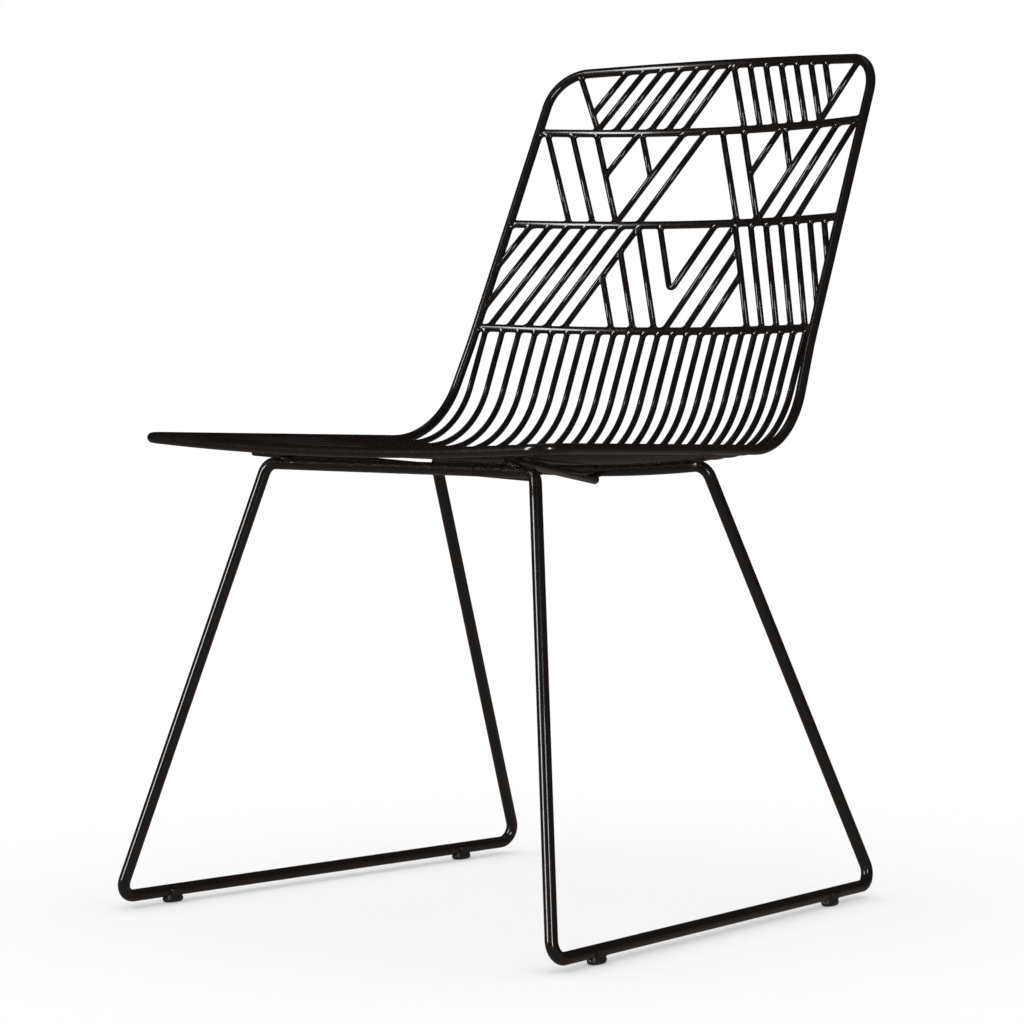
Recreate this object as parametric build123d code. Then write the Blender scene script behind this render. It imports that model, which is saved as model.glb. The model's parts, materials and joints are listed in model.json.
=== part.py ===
"""Wire dining chair of welded round steel rod.

A bent sled base carries a closed seat and back rim. Thin wires run from the front rail over the
seat, bend up and end on the lowest back band. Three bowed bands and short slanted wires fill the
back. The chair faces -Y, X runs across it, Z is up, and left means -X, seen from the front.
"""
from build123d import *
import os
from dataclasses import dataclass
from math import asin, atan, cos, hypot, pi, sin, sqrt, tan

# Rods and welds
BASE_ROD = 12.0  # sled base and its crossbars
RIM_ROD = 10.0  # rim of the seat and the back
BAND_ROD = 8.0  # cross bands of the back
BRACE_ROD = 9.0  # diagonal braces under the seat
WIRE = 6.0  # seat wires and back lattice
WELD_BITE = 0.8  # depth to which a crossing rod sinks into the rod it rests on
NOTCH_RUN = 20.0  # straight length of a crossing rod that is cut out of a wire over it
ROD_SIDES = 8  # flats round the rods of the base, the rim and the bands
WIRE_SIDES = 6  # flats round each wire

# Sled base, on the axis of the rod, with Y from the middle of the floor runners
FRONT_FLOOR_X = 280.0
FRONT_FLOOR_Y = -281.0
REAR_FLOOR_X = 239.0
REAR_FLOOR_Y = 281.0
FRONT_LEG_TOP_X = 173.0
FRONT_CROSSBAR_Y = -177.0
REAR_LEG_TOP_X = 177.4
REAR_CROSSBAR_Y = 78.1
LEG_TOP_RADIUS = 14.0
FLOOR_RADIUS = 15.0

# Floor glides, black plastic clips on the runners
GLIDE_FOOT = 6.0  # height under the rod
FRONT_GLIDE_INSET = 70.0  # along Y, from the floor corner
REAR_GLIDE_INSET = 84.0
GLIDE_WIDTH = 13.0
GLIDE_LENGTH = 24.0
GLIDE_TREAD = 18.0  # length of the flat on the floor
GLIDE_CLIP = 14.0  # length of the clip round the rod
GLIDE_WALL = 2.2  # wall of the clip
GLIDE_GRIP = 2.0  # height of the clip above the rod's axis
GLIDE_SADDLE = 2.0  # depth of the foot's top below the rod's axis

# Diagonal braces
BRACE_INSET = 22.7  # along X, from the top corner of the front leg to the brace
BRACE_REAR_X = 37.7  # under the rear crossbar
BRACE_FRONT_OVERRUN = 30.0
BRACE_REAR_OVERRUN = 0.5

# Seat rim, on the axis of the rod
SEAT_FRONT_X = 264.0
SEAT_FRONT_Y = -264.0
SEAT_FRONT_Z = 470.5
SEAT_CORNER_RADIUS = 26.0
FRONT_RAIL_DROOP = 8.8
SEAT_REAR_X = 232.3
SEAT_REAR_Y = 143.2
SEAT_REAR_Z = 457.6
SEAT_BEND_RADIUS = 95.0

# Back rim and bands
WAIST_X = 222.9
WAIST_BACK = 45.8  # behind the rear corner of the seat rim
WAIST_RISE = 103.5  # above the rear corner of the seat rim
WAIST_RADIUS = 400.0
TOP_X = 212.0
TOP_BACK = 131.0  # behind the waist
TOP_RISE = 291.9  # above the waist
TOP_CORNER_RADIUS = 46.0
TOP_RAIL_BOW = 38.5  # backward bow of the top rail at its middle
BAND_BOW = 34.0  # backward bow of each band
TOP_RAIL_RISE = 6.0  # rise of the top rail at its middle
BAND_DROP = 4.0  # fall of each band at its middle
LOWER_BAND_SHARE = 0.058  # place of each band on the way from the waist to the top corner
MIDDLE_BAND_SHARE = 0.442
UPPER_BAND_SHARE = 0.784
TAIL_SHARE = 1.2  # straight tail of a bowed rail at a corner, over the corner's radius

# Seat wires
SEAT_WIRES_EACH_SIDE = 11
FRONT_WIRE_INSET = 16.5  # along X, from the rim's front corner to the outermost wire
REAR_WIRE_INSET = 21.1  # from the rim's bend corner to the same wire's bend
UPPER_WIRE_INSET = 11.1  # from the end of the lower band to the same wire's upper end
WIRE_BEND_BACK = 30.4  # the middle wire's bend lies this far behind the rim's bend
WIRE_BEND_DROP = 21.1  # and this far below it
WIRE_BEND_RADIUS = 95.0

# Back lattice. Shares are of the half width of the line that a wire leaves downward. The lean
# is the sideways run of a slanted wire over its whole panel.
TOP_LEAN_SHARE = 0.191
TOP_FAN_WIRES = 7
TOP_FAN_SHARE = 0.002
TOP_FAN_PITCH_SHARE = 0.102
TOP_EDGE_SHARE = 0.876
MIDDLE_LEAN_SHARE = 0.26
MIDDLE_PITCH_SHARE = 0.132
CENTRE_PAIR_WIRES = 2
CENTRE_PAIR_SHARE = 0.049
SHORT_INWARD_SHARE = 0.4345
SHORT_OUTWARD_SHARE = 0.4495
MIDDLE_OUTER_WIRES = 3
MIDDLE_OUTER_SHARE = 0.6915
LOWER_LEAN_SHARE = 0.272
LOWER_OUTER_WIRES = 7
LOWER_OUTER_SHARE = 0.2885
LOWER_OUTER_PITCH_SHARE = 0.0995
LOWER_INNER_WIRES = 3
LOWER_INNER_SHARE = 0.2995
LOWER_INNER_PITCH_SHARE = 0.1265
VEE_SHARE = 0.172
VEE_RADIUS = 4.0

# Corners of the rim's right half and the height of the runners
SEAT_CORNER = Vector(SEAT_FRONT_X, SEAT_FRONT_Y, SEAT_FRONT_Z)
BEND_CORNER = Vector(SEAT_REAR_X, SEAT_REAR_Y, SEAT_REAR_Z)
WAIST = Vector(WAIST_X, SEAT_REAR_Y + WAIST_BACK, SEAT_REAR_Z + WAIST_RISE)
TOP_CORNER = Vector(TOP_X, WAIST.Y + TOP_BACK, WAIST.Z + TOP_RISE)
FLOOR_Z = GLIDE_FOOT + BASE_ROD / 2  # axis of the runners above the floor


def corner_radius(diameter, sides=ROD_SIDES):
    """Distance from the axis to a corner of a section with the area of the round rod."""
    return diameter / 2 * sqrt(2 * pi / (sides * sin(2 * pi / sides)))


def flat_radius(diameter, sides=ROD_SIDES):
    """Distance from the axis to a flat of the same section."""
    return corner_radius(diameter, sides) * cos(pi / sides)


def rod(path, facing, diameter, sides=ROD_SIDES):
    """Rod along a path. One flat of its regular polygon section faces the given way."""
    way = path % 0
    square = facing - way * facing.dot(way)
    start = Plane(origin=path @ 0, x_dir=square, z_dir=way)
    section = Rot(0, 0, 180 / sides) * RegularPolygon(corner_radius(diameter, sides), sides)
    return sweep(start * section, path=path)


def along(start, end, share):
    """Point at a share of the way from start to end."""
    return start + (end - start) * share


def mirrored(solids):
    """The same solids on the other side of the chair."""
    return [mirror(solid, about=Plane.YZ) for solid in solids]


def coped(wire, *others):
    """Wire cut to the rods that it meets, without the stubs inside them."""
    left = wire
    for other in others:
        left = left - other
    return max(left.solids(), key=lambda solid: solid.volume)


@dataclass
class Seat:
    """Place on a rod where a wire ends: a point of its axis, its way and its reach from there.

    The reach is the distance of a flat where one faces the wire, and otherwise of a corner.
    """

    point: Vector
    way: Vector
    reach: float

    def trim(self, wire, inward):
        """Wire cut flat on the side of this rod, kept on the side that the inward way leads to."""
        out = (inward - self.way * inward.dot(self.way)).normalized()
        face = Plane(self.point + out * self.reach, z_dir=out)
        return split(wire, bisect_by=face, keep=Keep.TOP)


@dataclass
class Bow:
    """Line across the chair: an arc about its middle, with a straight tail at each end.

    The end is the line's sharp corner on the right. The rise leads to the arc's middle from the
    point between the ends, and the tail leaves room for the bend at the corner.
    """

    end: Vector
    rise: Vector
    tail: float
    diameter: float
    reach: float

    def __post_init__(self):
        self.turn = 2 * atan(self.rise.length / (self.end.X + self.tail))
        self.radius = (self.end.X - self.tail * cos(self.turn)) / sin(self.turn)
        self.arc_x = self.radius * sin(self.turn)
        self.up = self.rise.normalized()

    def at(self, x):
        """Point of the line at x."""
        reach = min(abs(x), self.arc_x)
        drop = self.radius - sqrt(self.radius**2 - reach**2)
        drop += (abs(x) - reach) * tan(self.turn)
        return Vector(x, self.end.Y, self.end.Z) + self.rise - self.up * drop

    def seat(self, x):
        """Seat at x, with the line's way to the right."""
        turn = asin(max(-self.arc_x, min(x, self.arc_x)) / self.radius)
        return Seat(self.at(x), Vector(cos(turn), 0, 0) - self.up * sin(turn), self.reach)

    def arc(self, start_x, end_x):
        """Arc of the line between two places."""
        return ThreePointArc(self.at(start_x), self.at((start_x + end_x) / 2), self.at(end_x))

    def notch(self, wire, x):
        """Wire with a straight length of this rod cut out of it at x."""
        seat = self.seat(x)
        half_run = seat.way * (NOTCH_RUN / 2)
        path = Line(seat.point - half_run, seat.point + half_run)
        return wire - rod(path, Vector(0, 0, 1), self.diameter)


def back_band(share):
    """Line of a cross band at a share of the way up the uprights."""
    end = along(WAIST, TOP_CORNER, share)
    return Bow(end, Vector(0, BAND_BOW, -BAND_DROP), 0, BAND_ROD, flat_radius(BAND_ROD))


UPRIGHT_WAY = (TOP_CORNER - WAIST).normalized()
SLOPE = Vector(0, UPRIGHT_WAY.Y, UPRIGHT_WAY.Z).normalized()  # up the middle of the back
FRONT_SAG = Vector(0, 0, -FRONT_RAIL_DROOP)
FRONT_TAIL = SEAT_CORNER_RADIUS * TAIL_SHARE
FRONT_RAIL = Bow(SEAT_CORNER, FRONT_SAG, FRONT_TAIL, RIM_ROD, flat_radius(RIM_ROD))
TOP_BOW = Vector(0, TOP_RAIL_BOW, TOP_RAIL_RISE)
TOP_TAIL = TOP_CORNER_RADIUS * TAIL_SHARE
TOP_RAIL = Bow(TOP_CORNER, TOP_BOW, TOP_TAIL, RIM_ROD, corner_radius(RIM_ROD))
UPPER_BAND = back_band(UPPER_BAND_SHARE)
MIDDLE_BAND = back_band(MIDDLE_BAND_SHARE)
LOWER_BAND = back_band(LOWER_BAND_SHARE)


def wire_corners(number):
    """Front end, bend corner and upper end of a seat wire, numbered from the middle."""
    place_share = number / SEAT_WIRES_EACH_SIDE
    front = FRONT_RAIL.at((SEAT_FRONT_X - FRONT_WIRE_INSET) * place_share)
    x = (SEAT_REAR_X - REAR_WIRE_INSET) * place_share
    share = 1 - (x / SEAT_REAR_X) ** 2
    bend = Vector(x, SEAT_REAR_Y + WIRE_BEND_BACK * share, SEAT_REAR_Z - WIRE_BEND_DROP * share)
    return front, bend, LOWER_BAND.at((LOWER_BAND.end.X - UPPER_WIRE_INSET) * place_share)


def wire_at(number, y):
    """Point at y on the straight seat run of a seat wire."""
    front, bend, _ = wire_corners(number)
    return along(front, bend, (y - front.Y) / (bend.Y - front.Y))


def rest(lower_rod, upper_rod, upper_sides=ROD_SIDES):
    """Height of a rod's axis over the axis of the rod that it is welded on."""
    return flat_radius(lower_rod) + flat_radius(upper_rod, upper_sides) - WELD_BITE


# The rear crossbar bows down under the seat wires. Its middle and the outermost wire that it
# carries set its height and its arc, so that the wires between rest on it too.
WIRE_REST = rest(BASE_ROD, WIRE, WIRE_SIDES)
MIDDLE_WIRE = wire_at(0, REAR_CROSSBAR_Y)
REAR_TAIL = LEG_TOP_RADIUS * TAIL_SHARE
CARRIED_NUMBER = int((REAR_LEG_TOP_X - REAR_TAIL) / wire_at(1, REAR_CROSSBAR_Y).X)
CARRIED_WIRE = wire_at(CARRIED_NUMBER, REAR_CROSSBAR_Y)
SAG = CARRIED_WIRE.Z - MIDDLE_WIRE.Z
SAG_RADIUS = (CARRIED_WIRE.X**2 + SAG**2) / (2 * SAG)
SAG_REACH = asin(REAR_LEG_TOP_X / hypot(SAG_RADIUS, REAR_TAIL))
REAR_TURN = SAG_REACH - atan(REAR_TAIL / SAG_RADIUS)
REAR_DEPTH = (REAR_LEG_TOP_X + REAR_TAIL) * tan(REAR_TURN / 2)
REAR_LEG_TOP = Vector(REAR_LEG_TOP_X, REAR_CROSSBAR_Y, MIDDLE_WIRE.Z - WIRE_REST + REAR_DEPTH)
REAR_DIP = Vector(0, 0, -REAR_DEPTH)
REAR_CROSSBAR = Bow(REAR_LEG_TOP, REAR_DIP, REAR_TAIL, BASE_ROD, flat_radius(BASE_ROD))

# Each brace passes under the rear crossbar and over the front one. It carries the nearest seat
# wire where the two cross in plan, and that sets the height of the front crossbar.
BRACE_REST = rest(BASE_ROD, BRACE_ROD)
BRACE_REAR = REAR_CROSSBAR.at(BRACE_REAR_X) - Vector(0, 0, BRACE_REST)
BRACE_FRONT_X = FRONT_LEG_TOP_X - BRACE_INSET
CROSSBAR_GAP = REAR_CROSSBAR_Y - FRONT_CROSSBAR_Y
BRACE_WIRE = round(BRACE_FRONT_X / wire_at(1, FRONT_CROSSBAR_Y).X)
WIRE_OVER_FRONT = wire_at(BRACE_WIRE, FRONT_CROSSBAR_Y)
WIRE_OVER_REAR = wire_at(BRACE_WIRE, REAR_CROSSBAR_Y)
NEARING = (BRACE_REAR_X - BRACE_FRONT_X - WIRE_OVER_REAR.X + WIRE_OVER_FRONT.X) / CROSSBAR_GAP
CARRY_RUN = (WIRE_OVER_FRONT.X - BRACE_FRONT_X) / NEARING
CARRY_SHARE = CARRY_RUN / CROSSBAR_GAP
CARRY_WIRE = wire_at(BRACE_WIRE, FRONT_CROSSBAR_Y + CARRY_RUN)
CARRY_Z = CARRY_WIRE.Z - rest(BRACE_ROD, WIRE, WIRE_SIDES)
BRACE_FRONT_Z = (CARRY_Z - BRACE_REAR.Z * CARRY_SHARE) / (1 - CARRY_SHARE)
BRACE_FRONT = Vector(BRACE_FRONT_X, FRONT_CROSSBAR_Y, BRACE_FRONT_Z)
FRONT_LEG_TOP = Vector(FRONT_LEG_TOP_X, FRONT_CROSSBAR_Y, BRACE_FRONT_Z - BRACE_REST)
FLOOR_FRONT = Vector(FRONT_FLOOR_X, FRONT_FLOOR_Y, FLOOR_Z)
FLOOR_REAR = Vector(REAR_FLOOR_X, REAR_FLOOR_Y, FLOOR_Z)


def sled_half():
    """Right half of the closed base loop, from the rear crossbar's middle to the front one's."""
    points = [
        REAR_CROSSBAR.at(REAR_CROSSBAR.arc_x),
        REAR_LEG_TOP,
        FLOOR_REAR,
        FLOOR_FRONT,
        FRONT_LEG_TOP,
        Vector(0, FRONT_LEG_TOP.Y, FRONT_LEG_TOP.Z),
    ]
    loop = FilletPolyline(
        *points, radius=[LEG_TOP_RADIUS, FLOOR_RADIUS, FLOOR_RADIUS, LEG_TOP_RADIUS]
    )
    path = Wire([*REAR_CROSSBAR.arc(0, REAR_CROSSBAR.arc_x).edges(), *loop.edges()])
    return rod(path, Vector(0, 0, 1), BASE_ROD).solid()


def rim_half():
    """Right half of the seat and back rim, from the front rail's middle to the top rail's."""
    points = [
        FRONT_RAIL.at(FRONT_RAIL.arc_x),
        SEAT_CORNER,
        BEND_CORNER,
        WAIST,
        TOP_CORNER,
        TOP_RAIL.at(TOP_RAIL.arc_x),
    ]
    side = FilletPolyline(
        *points, radius=[SEAT_CORNER_RADIUS, SEAT_BEND_RADIUS, WAIST_RADIUS, TOP_CORNER_RADIUS]
    )
    front = FRONT_RAIL.arc(0, FRONT_RAIL.arc_x)
    top = TOP_RAIL.arc(TOP_RAIL.arc_x, 0)
    path = Wire([*front.edges(), *side.edges(), *top.edges()])
    return rod(path, Vector(0, 0, 1), RIM_ROD).solid()


def band(line):
    """Bowed cross band between the uprights of the rim."""
    bar = rod(line.arc(-line.end.X, line.end.X), SLOPE, BAND_ROD)
    right_way = UPRIGHT_WAY
    left_way = Vector(-right_way.X, right_way.Y, right_way.Z)
    left_end = line.at(-line.end.X)
    reach = corner_radius(RIM_ROD)
    bar = Seat(line.end, right_way, reach).trim(bar, left_end - line.end)
    return Seat(left_end, left_way, reach).trim(bar, line.end - left_end).solid()


def brace(sled):
    """Right brace, with its front end past the front crossbar, notched for both crossbars."""
    front = along(BRACE_FRONT, BRACE_REAR, -BRACE_FRONT_OVERRUN / CROSSBAR_GAP)
    rear = along(BRACE_FRONT, BRACE_REAR, 1 + BRACE_REAR_OVERRUN / CROSSBAR_GAP)
    return coped(rod(Line(front, rear), Vector(0, 0, 1), BRACE_ROD), sled)


def seat_wire(number, rim, brace_right):
    """Seat wire with its bend, cut flat at both ends and notched where it rests."""
    front, bend, top = wire_corners(number)
    path = FilletPolyline(front, bend, top, radius=WIRE_BEND_RADIUS)
    facing = (bend - front).cross(top - bend)
    wire = rod(path, facing, WIRE, WIRE_SIDES)
    wire = LOWER_BAND.seat(top.X).trim(wire, bend - top)
    if front.X > FRONT_RAIL.arc_x:
        wire = coped(wire, rim)
    else:
        wire = FRONT_RAIL.seat(front.X).trim(wire, bend - front)
    crossing_x = wire_at(number, REAR_CROSSBAR_Y).X
    if crossing_x < REAR_LEG_TOP_X:
        wire = REAR_CROSSBAR.notch(wire, crossing_x)
    if number == BRACE_WIRE:
        wire = wire - brace_right
    return wire.solid()


def glide(inset, end, other_end, sled):
    """Clip-on floor glide, set in from one end of the right runner."""
    share = inset / abs(other_end.Y - end.Y)
    centre = along(end, other_end, share)
    runner = Plane(origin=centre, x_dir=end - other_end, z_dir=(0, 0, 1))
    foot_side = Polygon(
        (-GLIDE_LENGTH / 2, -GLIDE_SADDLE),
        (GLIDE_LENGTH / 2, -GLIDE_SADDLE),
        (GLIDE_LENGTH / 2, -BASE_ROD / 2),
        (GLIDE_TREAD / 2, -FLOOR_Z),
        (-GLIDE_TREAD / 2, -FLOOR_Z),
        (-GLIDE_LENGTH / 2, -BASE_ROD / 2),
        align=None,
    )
    foot = extrude(Plane.XZ * foot_side, amount=GLIDE_WIDTH / 2, both=True)
    clip_radius = BASE_ROD / 2 + GLIDE_WALL
    clip = Rot(0, 90, 0) * Cylinder(clip_radius, GLIDE_CLIP)
    above = Pos(0, 0, GLIDE_GRIP) * Box(
        GLIDE_LENGTH,
        2 * clip_radius,
        clip_radius,
        align=(Align.CENTER, Align.CENTER, Align.MIN),
    )
    return (runner * (foot + clip - above) - sled).solid()


# Back lattice
@dataclass
class Panel:
    """Panel of the back between two lines. Places in it go by x and by the fall down the slope."""

    upper: Bow
    lower: Bow
    lean_share: float

    def __post_init__(self):
        step = self.upper.end - self.lower.end
        self.length = hypot(step.Y, step.Z)
        self.lean = self.place(self.lean_share)
        self.normal = SLOPE.cross(Vector(1, 0, 0))

    def place(self, share, pitch_share=0, number=0):
        """X of a wire in a row on the upper line, from shares of the line's half width."""
        return self.upper.end.X * (share + pitch_share * number)

    def at(self, x, fall):
        """Point of the panel at x, the given fall below its upper line."""
        return along(self.upper.at(x), self.lower.at(x), fall / self.length)

    def outward(self, x):
        """Seats of a wire that leaves the upper line at x and leans outward on its way down."""
        return self.upper.seat(x), self.lower.seat(x + self.lean)

    def inward(self, x):
        """Seats of a wire that leaves the upper line at x and leans inward on its way down."""
        return self.upper.seat(x), self.lower.seat(x - self.lean)

    def crossing_fall(self, outward_x, inward_x):
        """Fall at which an outward and an inward wire meet."""
        return self.length * (inward_x - outward_x) / (2 * self.lean)

    def on_wire(self, seats, fall):
        """Seat on another wire of the panel, the given fall down its slope."""
        start, end = seats[0].point, seats[1].point
        way = (end - start).normalized()
        return Seat(along(start, end, fall / self.length), way, flat_radius(WIRE, WIRE_SIDES))

    def wire(self, seats, *sides):
        """Straight wire between two seats, also cut flat on the other seats that it is given."""
        start, end = seats[0].point, seats[1].point
        wire = rod(Line(start, end), self.normal.cross(end - start), WIRE, WIRE_SIDES)
        wire = seats[0].trim(wire, end - start)
        for seat in (seats[1], *sides):
            wire = seat.trim(wire, start - end)
        return wire.solid()


TOP_PANEL = Panel(TOP_RAIL, UPPER_BAND, TOP_LEAN_SHARE)
MIDDLE_PANEL = Panel(UPPER_BAND, MIDDLE_BAND, MIDDLE_LEAN_SHARE)
LOWER_PANEL = Panel(MIDDLE_BAND, LOWER_BAND, LOWER_LEAN_SHARE)


def top_panel(rim):
    """Right side's edge wire and fan, whose last wires end on the edge wire."""
    panel = TOP_PANEL
    edge_x = panel.place(TOP_EDGE_SHARE)
    edge_seats = panel.inward(edge_x)
    edge = coped(panel.wire(edge_seats), rim)
    fan = []
    for number in range(TOP_FAN_WIRES):
        x = panel.place(TOP_FAN_SHARE, TOP_FAN_PITCH_SHARE, number)
        start, end = panel.outward(x)
        fall = min(panel.crossing_fall(x, edge_x), panel.length)
        meet = panel.on_wire(edge_seats, fall)
        if fall < panel.length:
            fan.append(panel.wire((start, meet), end))
        else:
            fan.append(panel.wire((start, end), meet))
    return edge, fan


def middle_panel():
    """Right side's centre pair, short wires and outer wires."""
    panel = MIDDLE_PANEL
    pair_x = [
        panel.place(CENTRE_PAIR_SHARE, MIDDLE_PITCH_SHARE, number)
        for number in range(CENTRE_PAIR_WIRES)
    ]
    outer_x = [
        panel.place(MIDDLE_OUTER_SHARE, MIDDLE_PITCH_SHARE, number)
        for number in range(MIDDLE_OUTER_WIRES)
    ]
    inward_x = panel.place(SHORT_INWARD_SHARE)
    outward_x = panel.place(SHORT_OUTWARD_SHARE)
    pair_seats = [panel.outward(x) for x in pair_x]
    outer_seats = [panel.inward(x) for x in outer_x]
    last = panel.on_wire(pair_seats[-1], panel.length)
    pair = [panel.wire(seats) for seats in pair_seats]
    outer = [panel.wire(seats, last) for seats in outer_seats]
    inward_end = panel.on_wire(pair_seats[-1], panel.crossing_fall(pair_x[-1], inward_x))
    outward_end = panel.on_wire(outer_seats[0], panel.crossing_fall(outward_x, outer_x[0]))
    shorts = [
        panel.wire((panel.upper.seat(inward_x), inward_end)),
        panel.wire((panel.upper.seat(outward_x), outward_end)),
    ]
    return pair, shorts, outer


def lower_panel():
    """Right side's outer wires, the last of which end on the rim, and the inner wires."""
    panel = LOWER_PANEL
    flare = panel.lower.end.X - panel.upper.end.X
    outer_seats = []
    for number in range(LOWER_OUTER_WIRES):
        x = panel.place(LOWER_OUTER_SHARE, LOWER_OUTER_PITCH_SHARE, number)
        start, end = panel.outward(x)
        rim_share = (panel.upper.end.X - x) / (panel.lean - flare)
        if rim_share < 1:
            point = along(panel.upper.end, panel.lower.end, rim_share)
            end = Seat(point, UPRIGHT_WAY, corner_radius(RIM_ROD))
        outer_seats.append((start, end))
    outer = [panel.wire(seats) for seats in outer_seats]
    outer_x = outer_seats[0][0].point.X
    inner = []
    for number in range(LOWER_INNER_WIRES):
        x = panel.place(LOWER_INNER_SHARE, LOWER_INNER_PITCH_SHARE, number)
        start = panel.on_wire(outer_seats[0], panel.crossing_fall(outer_x, x))
        _, end = panel.inward(x)
        wire = panel.wire((start, end))
        inner.append(panel.upper.seat(x).trim(wire, end.point - start.point).solid())
    return outer, inner


def vee():
    """Bent wire that hangs from the middle band."""
    panel = LOWER_PANEL
    x = panel.place(VEE_SHARE)
    tip = panel.at(0, panel.crossing_fall(-x, x))
    right = panel.upper.seat(x)
    left = panel.upper.seat(-x)
    path = FilletPolyline(left.point, tip, right.point, radius=VEE_RADIUS)
    wire = rod(path, (tip - left.point).cross(right.point - tip), WIRE, WIRE_SIDES)
    return right.trim(left.trim(wire, tip - left.point), tip - right.point).solid()


def chair():
    """Every piece of the chair, as a list of solids for each node name."""
    sled = sled_half()
    rim = rim_half()
    brace_right = brace(sled)
    edge, fan = top_panel(rim)
    pair, shorts, outer = middle_panel()
    lower_outer, lower_inner = lower_panel()
    right_side = {
        "sled": [sled],
        "rim": [rim],
        "brace": [brace_right],
        "front_glide": [glide(FRONT_GLIDE_INSET, FLOOR_FRONT, FLOOR_REAR, sled)],
        "rear_glide": [glide(REAR_GLIDE_INSET, FLOOR_REAR, FLOOR_FRONT, sled)],
        "top_edge_wire": [edge],
        "top_fan": fan,
        "middle_pair": pair,
        "middle_shorts": shorts,
        "middle_outer": outer,
        "lower_outer": lower_outer,
        "lower_inner": lower_inner,
    }
    pieces = {}
    for name, solids in right_side.items():
        pieces[f"{name}_right"] = solids
        pieces[f"{name}_left"] = mirrored(solids)
    pieces["upper_band"] = [band(UPPER_BAND)]
    pieces["middle_band"] = [band(MIDDLE_BAND)]
    pieces["lower_band"] = [band(LOWER_BAND)]
    pieces["lower_vee"] = [vee()]
    numbers = range(SEAT_WIRES_EACH_SIDE + 1)
    wires = [seat_wire(number, rim, brace_right) for number in numbers]
    wires = mirrored(reversed(wires[1:])) + wires
    for number, wire in enumerate(wires, 1):
        pieces[f"seat_wire_{number:02d}"] = [wire]
    return pieces


# The origin is on the floor, in the middle of the whole chair's outer box.
PIECES = chair()
BOX = Compound([solid for solids in PIECES.values() for solid in solids]).bounding_box()
TO_ORIGIN = Pos(0, -BOX.center().Y, 0)
os.makedirs("parts", exist_ok=True)
for node, solids in PIECES.items():
    placed = [TO_ORIGIN * solid for solid in solids]
    export_step(placed[0] if len(placed) == 1 else Compound(placed), f"parts/{node}.step")
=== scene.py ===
"""Looks of a wire dining chair welded from black steel rod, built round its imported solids.

Lengths are in metres. Centre lines are worked out from the chair's own sizes, with Y counted from
the middle of the floor runners, and the workshop moves each finished piece into the row frame.
Left means -X, seen from the front.
"""
from __future__ import annotations

import json
import logging
from dataclasses import dataclass, field
from enum import Enum
from functools import cached_property
from math import atan, cos, pi, radians, sin, tan

import bpy
import numpy as np
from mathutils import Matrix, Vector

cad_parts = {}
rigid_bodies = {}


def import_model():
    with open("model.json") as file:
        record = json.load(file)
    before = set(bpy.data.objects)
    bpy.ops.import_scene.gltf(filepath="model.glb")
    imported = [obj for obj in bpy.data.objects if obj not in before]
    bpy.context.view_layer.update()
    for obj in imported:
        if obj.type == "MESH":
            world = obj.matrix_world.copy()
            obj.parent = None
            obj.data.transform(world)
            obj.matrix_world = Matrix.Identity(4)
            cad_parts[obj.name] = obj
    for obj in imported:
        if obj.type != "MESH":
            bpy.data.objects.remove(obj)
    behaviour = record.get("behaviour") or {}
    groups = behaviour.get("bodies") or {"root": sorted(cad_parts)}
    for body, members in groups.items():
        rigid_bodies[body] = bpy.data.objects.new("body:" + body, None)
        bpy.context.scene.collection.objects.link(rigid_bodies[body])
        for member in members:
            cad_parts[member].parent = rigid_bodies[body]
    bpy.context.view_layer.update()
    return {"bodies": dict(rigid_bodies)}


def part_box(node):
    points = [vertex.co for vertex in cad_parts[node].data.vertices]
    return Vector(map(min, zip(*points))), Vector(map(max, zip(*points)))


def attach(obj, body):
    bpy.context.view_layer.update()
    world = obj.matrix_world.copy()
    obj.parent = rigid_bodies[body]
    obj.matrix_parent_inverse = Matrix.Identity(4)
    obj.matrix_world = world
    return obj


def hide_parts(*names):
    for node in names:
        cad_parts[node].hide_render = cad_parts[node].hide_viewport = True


LOG = logging.getLogger("wire_chair")

Triple = tuple[float, float, float]
Span = tuple[float, float]
Pair = tuple[np.ndarray, np.ndarray]

UP = np.array([0.0, 0.0, 1.0])
ACROSS = np.array([1.0, 0.0, 0.0])
ON_MIDDLE = np.array([0.0, 1.0, 1.0])  # factors that move a point to the middle plane
ON_FLOOR = np.array([1.0, 1.0, 0.0])  # factors that move a point to the floor
ONLY_Y = np.array([0.0, 1.0, 0.0])  # factors that keep the part of a move along Y
RISING: Span = (0.0, 1.0)
FALLING: Span = (1.0, 0.0)
WHITE = (1.0, 1.0, 1.0, 1.0)
ARC_STEP = radians(4.0)  # turn between two rings of a bend
BOW_STEP = 0.008  # spacing of the rings of a bowed line
FEWEST_RINGS = 3  # rings of the shortest bend or bowed line
EDGE_RINGS = 4  # rings of a rounded cut end
NEARLY_UPRIGHT = 0.9  # rise of a line's way past which its frames start from ACROSS


class Slot(Enum):
    """Material slots of the record."""

    STEEL = "black_steel"
    GLIDE = "glide_plastic"


class Side(Enum):
    """Sides of the chair, with the sign of their X."""

    RIGHT = 1
    LEFT = -1

    @property
    def word(self) -> str:
        """Side's name as it ends a node's name."""
        return self.name.lower()

    def mirror(self, points: np.ndarray) -> np.ndarray:
        """Points of the right side, moved to this one."""
        return np.asarray(points, float) * np.array([self.value, 1.0, 1.0])


def unit(vectors: np.ndarray) -> np.ndarray:
    """Vectors scaled to length one.

    Args:
        vectors: one vector, or one in each row.

    Returns:
        Each vector divided by its own length.
    """
    vectors = np.asarray(vectors, float)
    return vectors / np.linalg.norm(vectors, axis=-1, keepdims=True)


def between(start: np.ndarray, end: np.ndarray, share: float | np.ndarray) -> np.ndarray:
    """Point at a share of the way from start to end, or one for each share in a column."""
    return np.asarray(start) + (np.asarray(end) - np.asarray(start)) * share


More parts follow.
